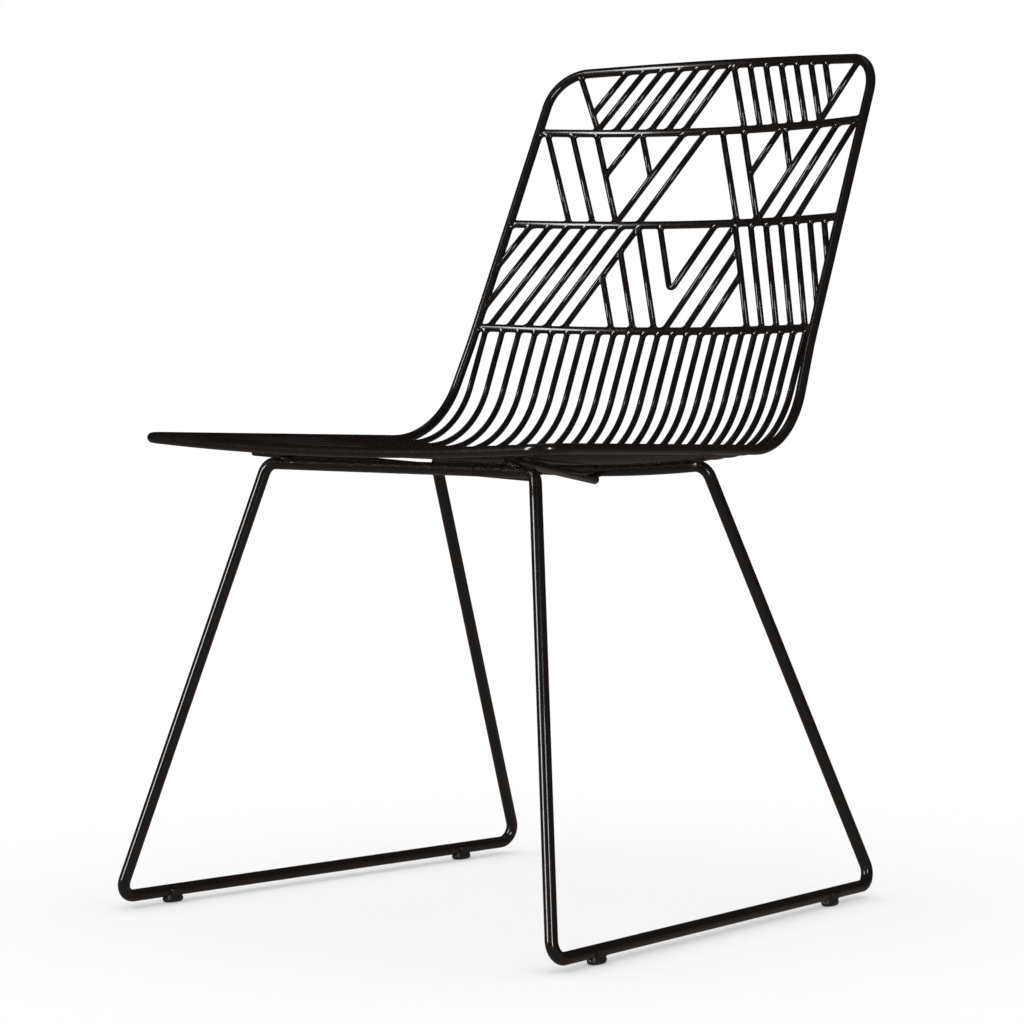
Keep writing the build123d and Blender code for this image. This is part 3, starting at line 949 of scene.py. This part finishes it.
@dataclass
class FloorGlides:
    """Black plastic glides clipped to the runners from below."""

    sled: SledBase
    front_inset: float = 0.070
    rear_inset: float = 0.084
    foot_length: float = 0.0232
    foot_width: float = 0.0126
    foot_edge: float = 0.0036
    foot_heights: tuple[float, ...] = (
        0.0, 0.0001, 0.0004, 0.0009, 0.0016, 0.0025, 0.0036, 0.0052, 0.0070, 0.0086, 0.0092
    )
    foot_top_share: float = 0.80
    squareness: float = 0.7
    clip_length: float = 0.0138
    clip_press: float = 0.0003
    clip_ends: tuple[Span, ...] = ((-0.5, 0.0004), (-0.47, 0.0), (0.47, 0.0), (0.5, 0.0004))
    clip_steps: int = 26
    lip_steps: int = 5
    wall: float = 0.0021
    grip: float = 0.0019
    columns: int = 40

    def centre(self, at_front: bool) -> np.ndarray:
        """Point on the right runner's axis over a glide's middle.

        Args:
            at_front: True for the front glide, False for the rear one.

        Returns:
            The point.
        """
        front, rear = np.array(self.sled.floor_front), np.array(self.sled.floor_rear)
        inset = self.front_inset if at_front else self.rear_inset
        share = inset / (rear[1] - front[1])
        return between(front, rear, share) if at_front else between(rear, front, share)

    def foot(self, centre: np.ndarray, way: np.ndarray) -> np.ndarray:
        """Rounded foot under the runner.

        Rings at growing heights are superellipses: half the length times the cosine, and half the
        width times the sine, each to the power of the squareness. Up to the edge's radius the size
        follows a quarter circle, so that the foot is a rounded button, and above it the foot
        narrows to its top's share.

        Args:
            centre: point on the runner's axis.
            way: the runner's way.

        Returns:
            Grid of points, by ring, column and axis.
        """
        across = np.cross(UP, way)
        spin = np.linspace(0.0, 2 * pi, self.columns, endpoint=False)
        square = np.abs(np.cos(spin)) ** self.squareness * np.sign(np.cos(spin))
        depth = np.abs(np.sin(spin)) ** self.squareness * np.sign(np.sin(spin))
        heights = np.array(self.foot_heights)
        sunk = self.foot_edge - np.minimum(heights, self.foot_edge)
        inset = self.foot_edge - np.sqrt(self.foot_edge**2 - sunk**2)
        waist = np.interp(heights, (self.foot_edge, heights[-1]), (1.0, self.foot_top_share))
        length = self.foot_length * waist - 2 * inset
        width = self.foot_width * waist - 2 * inset * self.foot_width / self.foot_length
        return (
            centre * ON_FLOOR
            + way * (length[:, None] / 2 * square)[..., None]
            + across * (width[:, None] / 2 * depth)[..., None]
            + UP * heights[:, None, None]
        )

    def clip(self, centre: np.ndarray, way: np.ndarray) -> np.ndarray:
        """Open clip round the runner.

        A wall's section is carried along the runner, a little thinner at both ends. Its outer side
        is an arc of the rod's radius plus the wall, and its inner side an arc just inside the
        rod's surface. A half circle joins them at each end, as a lip that reaches the grip's
        height over the rod's axis.

        Args:
            centre: point on the runner's axis.
            way: the runner's way.

        Returns:
            Grid of points, by ring, column and axis.
        """
        across = np.cross(UP, way)
        inner = self.sled.radius - self.clip_press
        half = (self.wall + self.clip_press) / 2
        middle = inner + half
        lip = np.arcsin((self.grip - half) / middle)
        sweep = np.linspace(pi - lip, 2 * pi + lip, self.clip_steps)
        arc = np.stack([np.cos(sweep), np.sin(sweep)], -1)
        out, up = np.array([cos(lip), sin(lip)]), np.array([-sin(lip), cos(lip)])
        ends = np.linspace(0.0, pi, self.lip_steps + 2)[1:-1, None]
        right_lip = out * middle + half * (np.cos(ends) * out + np.sin(ends) * up)
        left_lip = right_lip[::-1] * (-1.0, 1.0)
        section = np.vstack([arc * (middle + half), right_lip, arc[::-1] * inner, left_lip])
        away = np.linalg.norm(section, axis=1, keepdims=True)
        places, shrinks = np.array(self.clip_ends).T[:, :, None, None]
        rings = section * (1 - np.where(away > middle, shrinks, -shrinks) / away)
        grid = (
            centre
            + way * self.clip_length * places
            + across * rings[..., :1]
            + UP * rings[..., 1:]
        )
        return grid[:, ::-1]

    def build(self, shop: Workshop) -> None:
        """Make the four glides.

        Args:
            shop: workshop that places the pieces.
        """
        runner = unit(np.subtract(self.sled.floor_rear, self.sled.floor_front))
        for end in ("front", "rear"):
            for side in Side:
                centre = side.mirror(self.centre(at_front=end == "front"))
                way = side.mirror(runner)
                grids = [self.foot(centre, way), self.clip(centre, way)]
                node = f"{end}_glide_{side.word}"
                shop.place(f"moulded_{node}", grids, shop.glide_plastic, Slot.GLIDE, (node,))


@dataclass
class SeatWires(RodWork):
    """Twenty-three wires from the front rail over the seat and up to the lowest band."""

    rim: SeatRim
    bands: BackBands
    sled: SledBase
    radius: float = 0.0032
    sides: int = 20
    each_side: int = 11
    front_inset: float = 0.0165
    rear_inset: float = 0.0211
    upper_inset: float = 0.0111
    bend_back: float = 0.0304
    bend_drop: float = 0.0211
    bend_radius: float = 0.095
    lap_margin: float = 0.012

    def corners(self, number: int) -> list[np.ndarray]:
        """Front end, sharp bend corner and upper end of a wire.

        The bend corners lie on a parabola across the chair, back and down from the rim's own.

        Args:
            number: the wire's number from the middle, below zero on the left.

        Returns:
            The three points.
        """
        place = number / self.each_side
        corner_x, corner_y, corner_z = self.rim.bend_corner
        lower = self.bands.lines["lower"]
        x = (corner_x - self.rear_inset) * place
        share = 1 - (x / corner_x) ** 2
        bend = np.array([x, corner_y + self.bend_back * share, corner_z - self.bend_drop * share])
        front = self.rim.front_rail.at((self.rim.seat_corner[0] - self.front_inset) * place)
        return [front, bend, lower.at((lower.end[0] - self.upper_inset) * place)]

    def at(self, number: int, y: float) -> np.ndarray:
        """Point at y on a wire's straight seat run."""
        front, bend, _ = self.corners(number)
        return between(front, bend, (y - front[1]) / (bend[1] - front[1]))

    def build(self, shop: Workshop) -> None:
        """Make the wires, their welds on the rails and their laps on the rear crossbar.

        Args:
            shop: workshop that places the pieces.
        """
        rail, lower = self.rim.front_rail, self.bands.lines["lower"]
        crossbar = self.sled.rear_crossbar
        rows = {"front_rail": [], "lower_band": [], "rear_crossbar": []}
        for number in range(-self.each_side, self.each_side + 1):
            front, bend, top = self.corners(number)
            node = f"seat_wire_{number + self.each_side + 1:02d}"
            line = rounded([front, bend, top], [self.bend_radius])
            self.rods(shop, f"bent_{node}", (node,), [line])
            run, rise = Straight(front, bend, self.radius), Straight(top, bend, self.radius)
            rows["front_rail"].append(EndWeld.of(front, run, rail))
            rows["lower_band"].append(EndWeld.of(top, rise, lower))
            over = self.at(number, self.sled.rear_top[1])
            if abs(over[0]) < self.sled.rear_top[0] - self.lap_margin:
                share = crossbar.radius / (crossbar.radius + self.radius)
                middle = between(crossbar.at(over[0]), over, share)
                rows["rear_crossbar"].append(LapWeld.of(middle, run, crossbar))
        for row, welds in rows.items():
            shop.weld(row, welds)


@dataclass
class Braces(RodWork):
    """Two diagonal rods under the seat, from over the front crossbar to under the rear one."""

    sled: SledBase
    wires: SeatWires
    radius: float = 0.0047
    sides: int = 30
    front: Triple = (0.1503, -0.177, 0.453697)
    rear: Triple = (0.0377, 0.0781, 0.425106)
    front_overrun: float = 0.030
    rear_overrun: float = 0.0005
    cut_edge: float = 0.0008
    carried_at: Triple = (0.153147, -0.183449, 0.457858)
    carried_number: int = 7

    def build(self, shop: Workshop) -> None:
        """Make the braces, with their cut ends, and the blobs where they cross other rods.

        Args:
            shop: workshop that places the pieces.
        """
        front, rear = np.array(self.front), np.array(self.rear)
        gap = rear[1] - front[1]
        head = between(front, rear, -self.front_overrun / gap)
        tail = between(front, rear, 1 + self.rear_overrun / gap)
        brace = Straight(front, rear, self.radius)
        front_crossbar = Straight(-ACROSS, ACROSS, self.sled.radius)
        wire_front, wire_bend, _ = self.wires.corners(self.carried_number)
        wire = Straight(wire_front, wire_bend, self.wires.radius)
        laps = [
            LapWeld.of(front - UP * self.radius, brace, front_crossbar),
            LapWeld.of(rear + UP * self.radius, self.sled.rear_crossbar, brace),
            LapWeld.of(np.array(self.carried_at), wire, brace),
        ]
        for side in Side:
            name, node = f"diagonal_{side.word}", f"brace_{side.word}"
            self.rods(shop, name, (node,), [side.mirror([head, tail])], edge=self.cut_edge)
        shop.weld("braces", [lap.on(side) for side in Side for lap in laps])


@dataclass(frozen=True)
class Row:
    """Row of wires on a panel's upper line, in shares of the line's half width."""

    first: float
    pitch: float = 0.0
    count: int = 1


@dataclass
class Panel:
    """Panel of the back between two lines, with the lean of its slanted wires."""

    upper: Bow
    lower: Bow
    lean_share: float

    def __post_init__(self) -> None:
        """Work out the lean from the upper line's half width."""
        self.lean = self.upper.end[0] * self.lean_share

    def row(self, row: Row) -> np.ndarray:
        """Places of a row of wires on the upper line."""
        return self.upper.end[0] * (row.first + row.pitch * np.arange(row.count))

    def crossing(self, outward_x: float, inward_x: float) -> float:
        """Share of the slope at which an outward and an inward wire meet."""
        return (inward_x - outward_x) / (2 * self.lean)

    def run(self, x: float, lean: float) -> Pair:
        """Ends of a wire on the two lines, from x on the upper one, leaning out or in."""
        return self.upper.at(x), self.lower.at(x + lean)


@dataclass
class BackLattice(RodWork):
    """Slanted wires of the back, the same on both sides, and the bent wire in the middle."""

    rim: SeatRim
    bands: BackBands
    radius: float = 0.0032
    sides: int = 20
    top_lean: float = 0.191
    fan: Row = Row(0.002, 0.102, 7)
    edge_wire: Row = Row(0.876)
    edge_search: float = 0.5
    edge_steps: int = 200
    middle_lean: float = 0.26
    middle_pair: Row = Row(0.049, 0.132, 2)
    middle_outer: Row = Row(0.6915, 0.132, 3)
    inward_short: Row = Row(0.4345)
    outward_short: Row = Row(0.4495)
    lower_lean: float = 0.272
    lower_outer: Row = Row(0.2885, 0.0995, 7)
    lower_inner: Row = Row(0.2995, 0.1265, 3)
    vee: Row = Row(0.172)
    vee_radius: float = 0.004
    welds: dict[str, list[Weld]] = field(default_factory=dict)

    def __post_init__(self) -> None:
        """Lay out the three panels."""
        lines = self.bands.lines
        self.top = Panel(self.rim.top_rail, lines["upper"], self.top_lean)
        self.middle = Panel(lines["upper"], lines["middle"], self.middle_lean)
        self.lower = Panel(lines["middle"], lines["lower"], self.lower_lean)

    def weld(self, row: str, start: np.ndarray, end: np.ndarray, carrier: Rod) -> None:
        """Note the weld of a wire's start, on both sides of the chair.

        Args:
            row: name of the row of welds.
            start: the wire's welded end, on the carrier's axis.
            end: the wire's other end.
            carrier: the rod that carries it.
        """
        weld = EndWeld.of(start, Straight(start, end, self.radius), carrier)
        self.welds.setdefault(row, []).extend(weld.on(side) for side in Side)

    def group(self, shop: Workshop, node: str, wires: list[Pair]) -> None:
        """Make the straight wires of one node on both sides.

        Args:
            shop: workshop that places the pieces.
            node: the node's name without its side.
            wires: ends of each wire on the right side.
        """
        for side in Side:
            name = f"{node}_{side.word}"
            self.rods(shop, f"lattice_{name}", (name,), [side.mirror(ends) for ends in wires])

    def build_top(self, shop: Workshop) -> None:
        """Make the edge wire and the fan, whose last wires end on the edge wire.

        Args:
            shop: workshop that places the pieces.
        """
        panel = self.top
        edge_x = panel.row(self.edge_wire)[0]
        edge = Straight(*panel.run(edge_x, -panel.lean), self.radius)
        fan = []
        for x in panel.row(self.fan):
            start, end = panel.run(x, panel.lean)
            share = panel.crossing(x, edge_x)
            self.weld("top_rail", start, end, panel.upper)
            if share < 1:
                end = between(edge.start, edge.end, share)
                self.weld("edge_wire", end, start, edge)
            else:
                self.weld("upper_band", end, start, panel.lower)
            fan.append((start, end))
        self.weld("upper_band", edge.end, edge.start, panel.lower)
        self.group(shop, "top_fan", fan)
        self.group(shop, "top_edge_wire", [self.trimmed_edge(edge)])

    def trimmed_edge(self, edge: Straight) -> Pair:
        """Edge wire, cut where it comes nearest to the axis of the rim's rounded corner.

        Args:
            edge: the wire from the top rail's sharp corner down to its foot.

        Returns:
            The wire's new top and its foot.
        """
        line = self.rim.line()
        steps = np.linspace(0.0, self.edge_search, self.edge_steps)[:, None]
        places = between(edge.start, edge.end, steps)
        gaps = np.linalg.norm(places[:, None] - line[None], axis=2)
        place, near = np.unravel_index(np.argmin(gaps), gaps.shape)
        corner = Straight(line[near - 1], line[near + 1], self.rim.radius)
        self.weld("top_rail", places[place], edge.end, corner)
        return places[place], edge.end

    def build_middle(self, shop: Workshop) -> None:
        """Make the centre pair, the short wires and the outer wires.

        Args:
            shop: workshop that places the pieces.
        """
        panel = self.middle
        pair_x, outer_x = panel.row(self.middle_pair), panel.row(self.middle_outer)
        pair = [panel.run(x, panel.lean) for x in pair_x]
        outer = [panel.run(x, -panel.lean) for x in outer_x]
        for start, end in (*pair, *outer):
            self.weld("upper_band_under", start, end, panel.upper)
            self.weld("middle_band", end, start, panel.lower)
        in_x, out_x = panel.row(self.inward_short)[0], panel.row(self.outward_short)[0]
        shorts = []
        for x, target, share in (
            (in_x, pair[-1], panel.crossing(pair_x[-1], in_x)),
            (out_x, outer[0], panel.crossing(out_x, outer_x[0])),
        ):
            start, end = panel.upper.at(x), between(*target, share)
            self.weld("upper_band_under", start, end, panel.upper)
            self.weld("middle_shorts", end, start, Straight(*target, self.radius))
            shorts.append((start, end))
        self.group(shop, "middle_pair", pair)
        self.group(shop, "middle_shorts", shorts)
        self.group(shop, "middle_outer", outer)

    def build_lower(self, shop: Workshop) -> None:
        """Make the outer wires, the last of which end on the rim, and the inner wires.

        Args:
            shop: workshop that places the pieces.
        """
        panel = self.lower
        flare = panel.lower.end[0] - panel.upper.end[0]
        upright = Straight(panel.lower.end, panel.upper.end, self.rim.radius)
        outer_x = panel.row(self.lower_outer)
        outer = []
        for x in outer_x:
            start, end = panel.run(x, panel.lean)
            self.weld("middle_band_under", start, end, panel.upper)
            share = (panel.upper.end[0] - x) / (panel.lean - flare)
            if share < 1:
                end = between(panel.upper.end, panel.lower.end, share)
                self.weld("rim_sides", end, start, upright)
            else:
                self.weld("lower_band_over", end, start, panel.lower)
            outer.append((start, end))
        first = panel.run(outer_x[0], panel.lean)
        inner = []
        for x in panel.row(self.lower_inner):
            start = between(*first, panel.crossing(outer_x[0], x))
            end = panel.lower.at(x - panel.lean)
            self.weld("lower_inner", start, end, Straight(*first, self.radius))
            self.weld("lower_band_over", end, start, panel.lower)
            inner.append((start, end))
        self.group(shop, "lower_outer", outer)
        self.group(shop, "lower_inner", inner)

    def build_vee(self, shop: Workshop) -> None:
        """Make the bent wire that hangs from the middle band.

        Args:
            shop: workshop that places the piece.
        """
        panel = self.lower
        x = panel.row(self.vee)[0]
        share = panel.crossing(-x, x)
        tip = between(panel.upper.at(0.0), panel.lower.at(0.0), share)
        left, right = panel.upper.at(-x), panel.upper.at(x)
        line = rounded([left, tip, right], [self.vee_radius])
        self.rods(shop, "lattice_vee", ("lower_vee",), [line])
        self.weld("middle_band_under", right, tip, panel.upper)

    def build(self, shop: Workshop) -> None:
        """Make every wire of the back, then all its welds.

        Args:
            shop: workshop that places the pieces.
        """
        self.build_top(shop)
        self.build_middle(shop)
        self.build_lower(shop)
        self.build_vee(shop)
        for row, welds in self.welds.items():
            shop.weld(row, welds)


@dataclass(frozen=True)
class Softbox:
    """Soft rectangular light that faces the chair and is seen only in its gloss."""

    name: str
    azimuth: float
    distance: float
    height: float
    size: Span
    power: float
    colour: Triple = (1.0, 1.0, 1.0)
    aim_height: float = 0.42

    def hang(self) -> None:
        """Add the light, turned to the chair's middle and unseen but in gloss."""
        light = bpy.data.lights.new(self.name, "AREA")
        light.shape = "RECTANGLE"
        light.size, light.size_y = self.size
        light.energy = self.power
        light.color = self.colour
        angle = radians(self.azimuth)
        place = np.array([cos(angle) * self.distance, sin(angle) * self.distance, self.height])
        aim = UP * self.aim_height - place
        lamp = bpy.data.objects.new(self.name, light)
        lamp.location = place
        tilt = np.arctan2(aim[2], np.hypot(aim[0], aim[1]))
        lamp.rotation_euler = (tilt + pi / 2, 0.0, np.arctan2(-aim[0], aim[1]))
        lamp.visible_camera = False
        lamp.visible_diffuse = False
        bpy.context.scene.collection.objects.link(lamp)


@dataclass
class Studio:
    """Pale floor, soft light and camera."""

    shift: np.ndarray
    focal_px: float = 3614.63
    frame_px: int = 1024
    sensor: float = 36.0
    azimuth: float = 40.319
    pitch: float = -2.981
    camera_at: Triple = (2.3285, -2.7502, 0.5819)
    near_clip: float = 0.05
    floor_half: float = 400.0
    paper: float = 0.80
    paper_glow: float = 0.19
    # Painted reflection: warm glow of the floor that only glossy rays see, fading with distance
    # from the chair.
    reflected_glow_reach: Span = (0.7, 2.6)
    reflected_glow_levels: Span = (0.15, 0.03)
    reflected_glow_colour: Triple = (1.0, 0.85, 0.72)
    backdrop: float = 1.0
    skylight: float = 1.035
    room: float = 0.012
    softboxes: tuple[Softbox, ...] = (
        Softbox("strip_left", -112.0, 3.6, 1.75, (0.80, 3.2), 150.0),
        Softbox("strip_right", -36.0, 4.1, 1.25, (0.50, 2.3), 75.0),
        Softbox("overhead", 140.0, 1.0, 3.4, (1.2, 1.2), 1.6, (0.93, 0.96, 1.0)),
    )

    def floor(self) -> None:
        """Lay wide pale paper that glows a little; in reflections it is a painted warm glow, bright
        only near by.
        """
        half = self.floor_half
        corners = [(-half, -half, 0), (half, -half, 0), (half, half, 0), (-half, half, 0)]
        mesh = bpy.data.meshes.new("studio_floor")
        mesh.from_pydata(corners, [], [(0, 1, 2, 3)])
        bench = NodeBench(bpy.data.materials.new("studio_paper"))
        white = (self.paper, self.paper, self.paper, 1.0)
        matt = bench.node("ShaderNodeBsdfDiffuse", {"Color": white})
        glow = bench.node("ShaderNodeEmission", {"Strength": self.paper_glow})
        lit = bench.node("ShaderNodeAddShader", {0: matt.outputs[0], 1: glow.outputs[0]})
        # Painted pool of light for reflections: glossy rays see a warm glow that is bright near the
        # chair and fades further away.
        away = bench.node("ShaderNodeVectorMath", {0: bench.places}, operation="LENGTH")
        level = bench.ranged(away.outputs["Value"], self.reflected_glow_reach, self.reflected_glow_levels)
        feeds = {"Color": (*self.reflected_glow_colour, 1.0), "Strength": level}
        dim = bench.node("ShaderNodeEmission", feeds)
        bench.show(bench.by_ray("Is Glossy Ray", lit.outputs[0], dim.outputs[0]))
        mesh.materials.append(bench.owner)
        floor = bpy.data.objects.new("studio_floor", mesh)
        bpy.context.scene.collection.objects.link(floor)

    def world(self) -> None:
        """Make white surroundings that light the floor evenly, and a dark room in reflections."""
        world = bpy.data.worlds.new("studio_room")
        bpy.context.scene.world = world
        bench = NodeBench(world)
        room, sky, backdrop = (
            bench.node("ShaderNodeBackground", {"Color": WHITE, "Strength": level}).outputs[0]
            for level in (self.room, self.skylight, self.backdrop)
        )
        lit = bench.by_ray("Is Diffuse Ray", room, sky)
        bench.show(bench.by_ray("Is Camera Ray", lit, backdrop))

    def camera(self) -> None:
        """Set up the camera at the photograph's place and angle."""
        lens = bpy.data.cameras.new("camera")
        lens.sensor_fit = "AUTO"
        lens.sensor_width = self.sensor
        lens.lens = self.focal_px * self.sensor / self.frame_px
        lens.clip_start, lens.clip_end = self.near_clip, 2 * self.floor_half
        camera = bpy.data.objects.new("camera", lens)
        camera.location = np.array(self.camera_at) + self.shift
        camera.rotation_euler = (pi / 2 + radians(self.pitch), 0.0, radians(self.azimuth))
        bpy.context.scene.collection.objects.link(camera)
        bpy.context.scene.camera = camera

    def build(self) -> None:
        """Set the stage."""
        self.floor()
        self.world()
        for softbox in self.softboxes:
            softbox.hang()
        self.camera()
        bpy.context.scene.view_settings.view_transform = "Standard"


def main() -> None:
    """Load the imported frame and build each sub-assembly in order."""
    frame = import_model()
    sled = SledBase()
    glides = FloorGlides(sled)
    low, high = (np.array(corner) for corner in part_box("front_glide_right"))
    shift = ((low + high) / 2 - glides.centre(at_front=True)) * ONLY_Y
    shop = Workshop(
        body=next(iter(frame["bodies"])),
        shift=shift,
        rod_paint=BlackPaint("black_powder_coat").make(),
        weld_paint=BlackPaint(
            "black_powder_coat_on_welds", gloss=(0.12, 0.22), peel_scale=420.0, peel_depth=0.00005
        ).make(),
        glide_plastic=GlidePlastic("moulded_black_plastic").make(),
    )
    rim = SeatRim()
    bands = BackBands(rim)
    wires = SeatWires(rim, bands, sled)
    braces, lattice = Braces(sled, wires), BackLattice(rim, bands)
    for work in (sled, glides, rim, bands, wires, braces, lattice):
        work.build(shop)
    Studio(shift).build()
    LOG.info("%d pieces made, shift %s", shop.made, shift)


if __name__ == "__main__":
    logging.basicConfig(level=logging.INFO, format="%(name)s: %(message)s")
    main()
